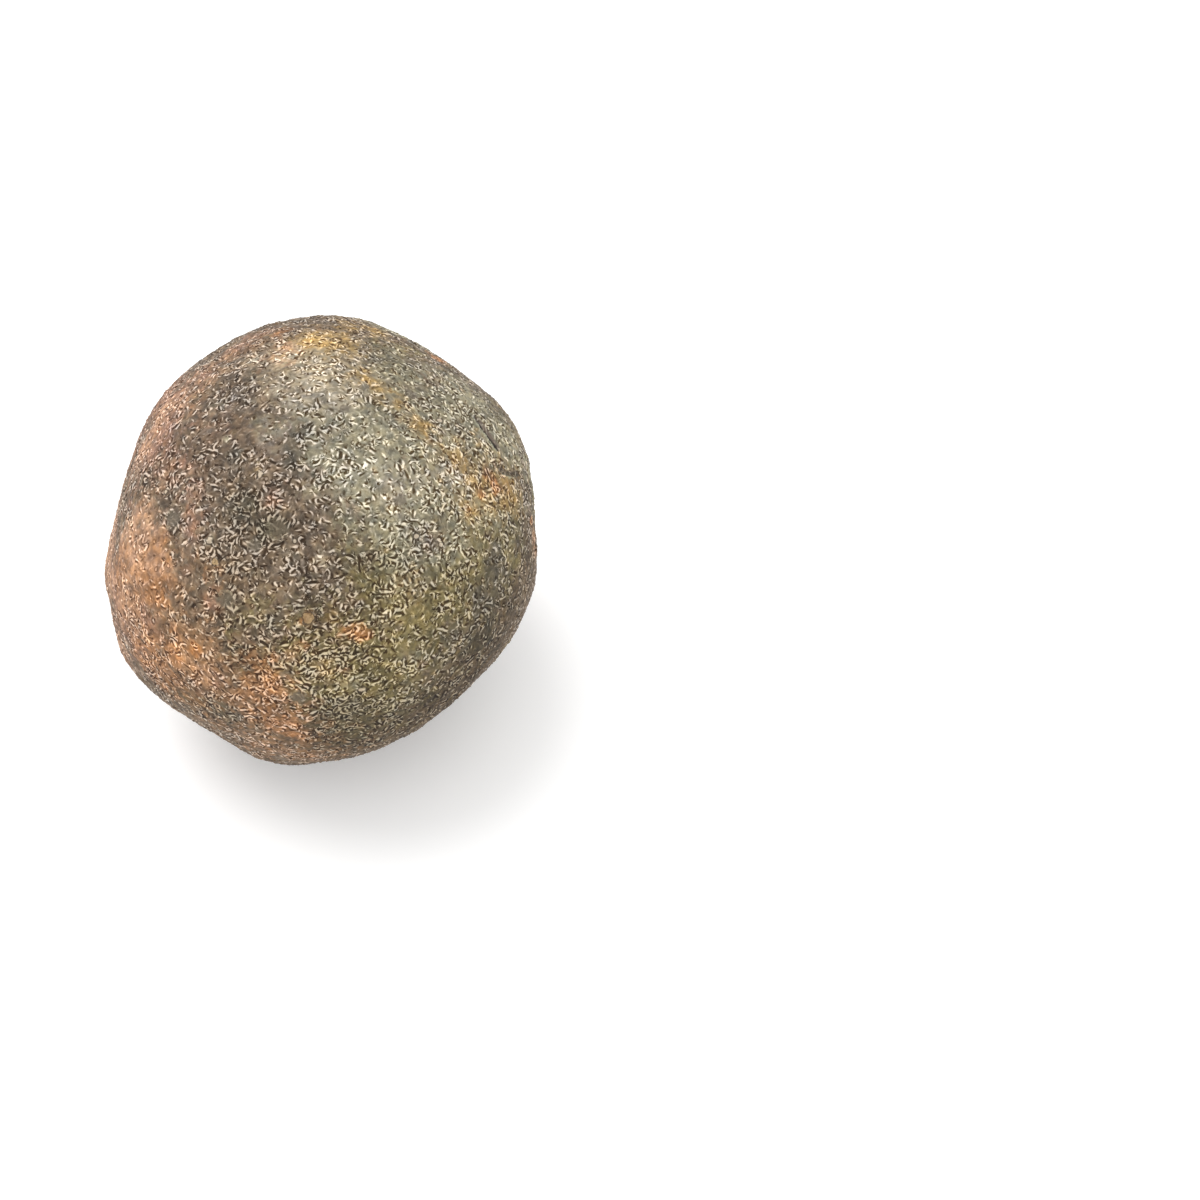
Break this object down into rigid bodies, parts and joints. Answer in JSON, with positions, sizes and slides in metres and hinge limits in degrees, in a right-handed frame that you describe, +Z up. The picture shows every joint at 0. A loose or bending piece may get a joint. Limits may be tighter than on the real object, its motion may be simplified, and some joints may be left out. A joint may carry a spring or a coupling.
{
  "type": "moqui marble",
  "caption": "Rounded sandstone concretion with a gritty iron-oxide rind and softly worn facets, resting on a small flat spot.",
  "frame": {"origin": "on the plane of the flat spot that the stone rests on, under the middle of its outline seen from above", "axes": "+Z up from the resting spot, +Y along the stone's longest way across, away from the side that shows best, +X to the right"},
  "size_m": [0.0368, 0.0384, 0.036],
  "materials": {
    "stone": "matte"
  },
  "bodies": {
    "root": {"moqui_marble": "stone"}
  },
  "joints": []
}
